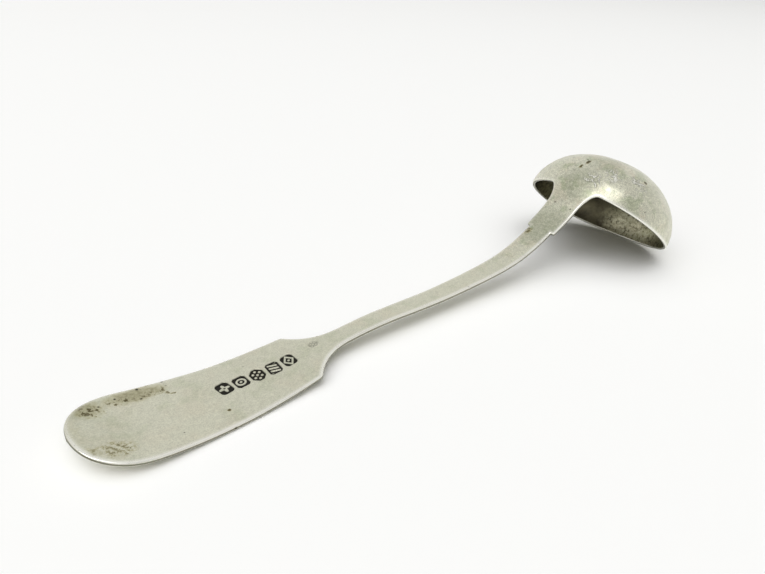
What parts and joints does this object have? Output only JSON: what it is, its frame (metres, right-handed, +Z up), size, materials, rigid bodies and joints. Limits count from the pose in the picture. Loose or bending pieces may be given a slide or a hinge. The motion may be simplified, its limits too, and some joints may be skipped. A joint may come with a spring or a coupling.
{
  "type": "sauce ladle",
  "caption": "Small silver ladle with a fiddle-shaped handle, square ears at the neck and a round bowl, lying bowl down.",
  "frame": {"origin": "on the table, below the middle of the ladle's length and width", "axes": "+X from the handle's tip to the bowl, +Z up from the table to the backs of handle and bowl"},
  "size_m": [0.1656, 0.0412, 0.0287],
  "materials": {
    "handle_silver": "worn silver, softly polished, with olive tarnish near the tip",
    "bowl_silver": "worn silver, softly polished outside, brown tarnish inside",
    "hard_solder": "silver hard solder, filed flush"
  },
  "bodies": {
    "root": {"handle": "handle_silver", "bowl": "bowl_silver", "solder_seam": "hard_solder"}
  },
  "joints": []
}
